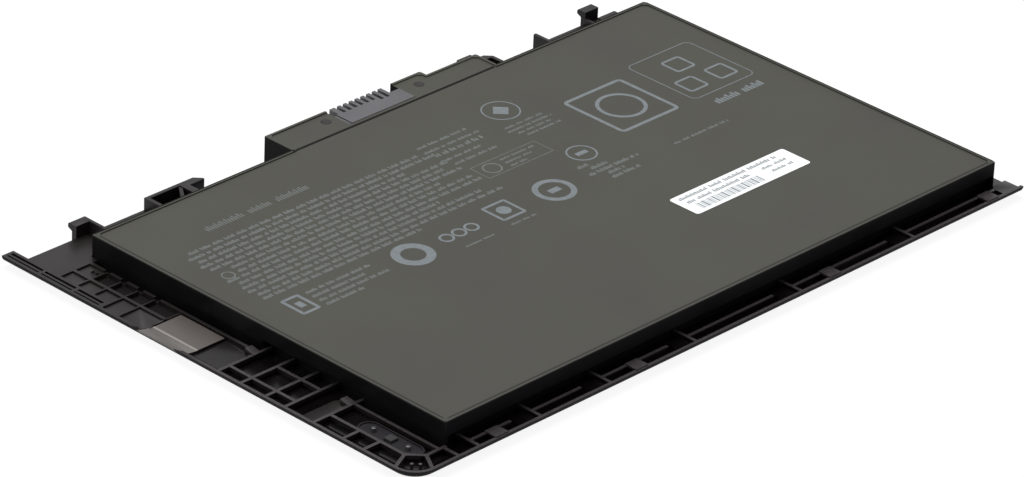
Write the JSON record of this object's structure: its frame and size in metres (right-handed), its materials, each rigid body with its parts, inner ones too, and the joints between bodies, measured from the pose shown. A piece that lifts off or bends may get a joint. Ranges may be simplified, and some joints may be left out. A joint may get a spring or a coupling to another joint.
{
  "type": "laptop battery",
  "caption": "Flat laptop battery: raised labelled body on a ribbed outer skin with latch cells on its left and front, rear hooks, and a slotted connector in a rear housing.",
  "frame": {"origin": "middle of the underside of the whole pack, at the level of the rubber foot", "axes": "+X along the long side, towards the end away from the finger scoop; +Y from the front rim towards the connector; +Z from the outer skin up to the label"},
  "size_m": [0.2624, 0.1724, 0.011],
  "materials": {
    "case_plastic": "fine matte texture",
    "cover_plastic": "semi-gloss moulding",
    "label_film": "matte printed polyester film",
    "sticker_film": "matte white film",
    "foot_rubber": "matte",
    "pouch_foil": "satin laminate",
    "tab_copper": "rolled metal",
    "tab_aluminium": "rolled metal",
    "strip_nickel": "rolled metal",
    "cell_tape": "matte tape",
    "foam": "open foam",
    "insulator_paper": "matte",
    "polyimide": "clear amber film",
    "resin_blue": "dipped resin",
    "board_laminate": "solder resist",
    "chip_black": "moulded resin",
    "chip_ceramic": "fired",
    "connector_plastic": "fine matte texture",
    "contact_metal": "plated"
  },
  "bodies": {
    "root": {"bottom_case": "case_plastic", "top_cover": "cover_plastic", "label_film": "label_film", "white_sticker": "sticker_film", "rubber_foot": "foot_rubber", "cell_1": "pouch_foil", "cell_2": "pouch_foil", "cell_3": "pouch_foil", "cell_4": "pouch_foil", "negative_tab_1": "tab_copper", "negative_tab_2": "tab_copper", "negative_tab_3": "tab_copper", "negative_tab_4": "tab_copper", "positive_tab_1": "tab_aluminium", "positive_tab_2": "tab_aluminium", "positive_tab_3": "tab_aluminium", "positive_tab_4": "tab_aluminium", "link_strip_1": "strip_nickel", "link_strip_2": "strip_nickel", "link_strip_3": "strip_nickel", "negative_end_strip": "strip_nickel", "positive_end_strip": "strip_nickel", "thermal_cutoff": "chip_black", "cell_tape_1": "cell_tape", "cell_tape_2": "cell_tape", "cell_tape_3": "cell_tape", "cell_tape_4": "cell_tape", "foam_pad_1": "foam", "foam_pad_2": "foam", "foam_pad_3": "foam", "foam_pad_4": "foam", "tab_insulator": "insulator_paper", "board_tape": "polyimide", "thermistor_left": "resin_blue", "thermistor_right": "resin_blue", "protection_board": "board_laminate", "gauge_chip": "chip_black", "protector_chip": "chip_black", "charge_mosfet": "chip_black", "discharge_mosfet": "chip_black", "chip_fuse": "chip_ceramic", "sense_resistor": "chip_ceramic", "small_capacitors": "chip_ceramic", "small_resistors": "chip_ceramic", "connector_body": "connector_plastic", "contact_1": "contact_metal", "contact_2": "contact_metal", "contact_3": "contact_metal", "contact_4": "contact_metal", "contact_5": "contact_metal", "contact_6": "contact_metal", "contact_7": "contact_metal", "contact_8": "contact_metal"}
  },
  "joints": []
}
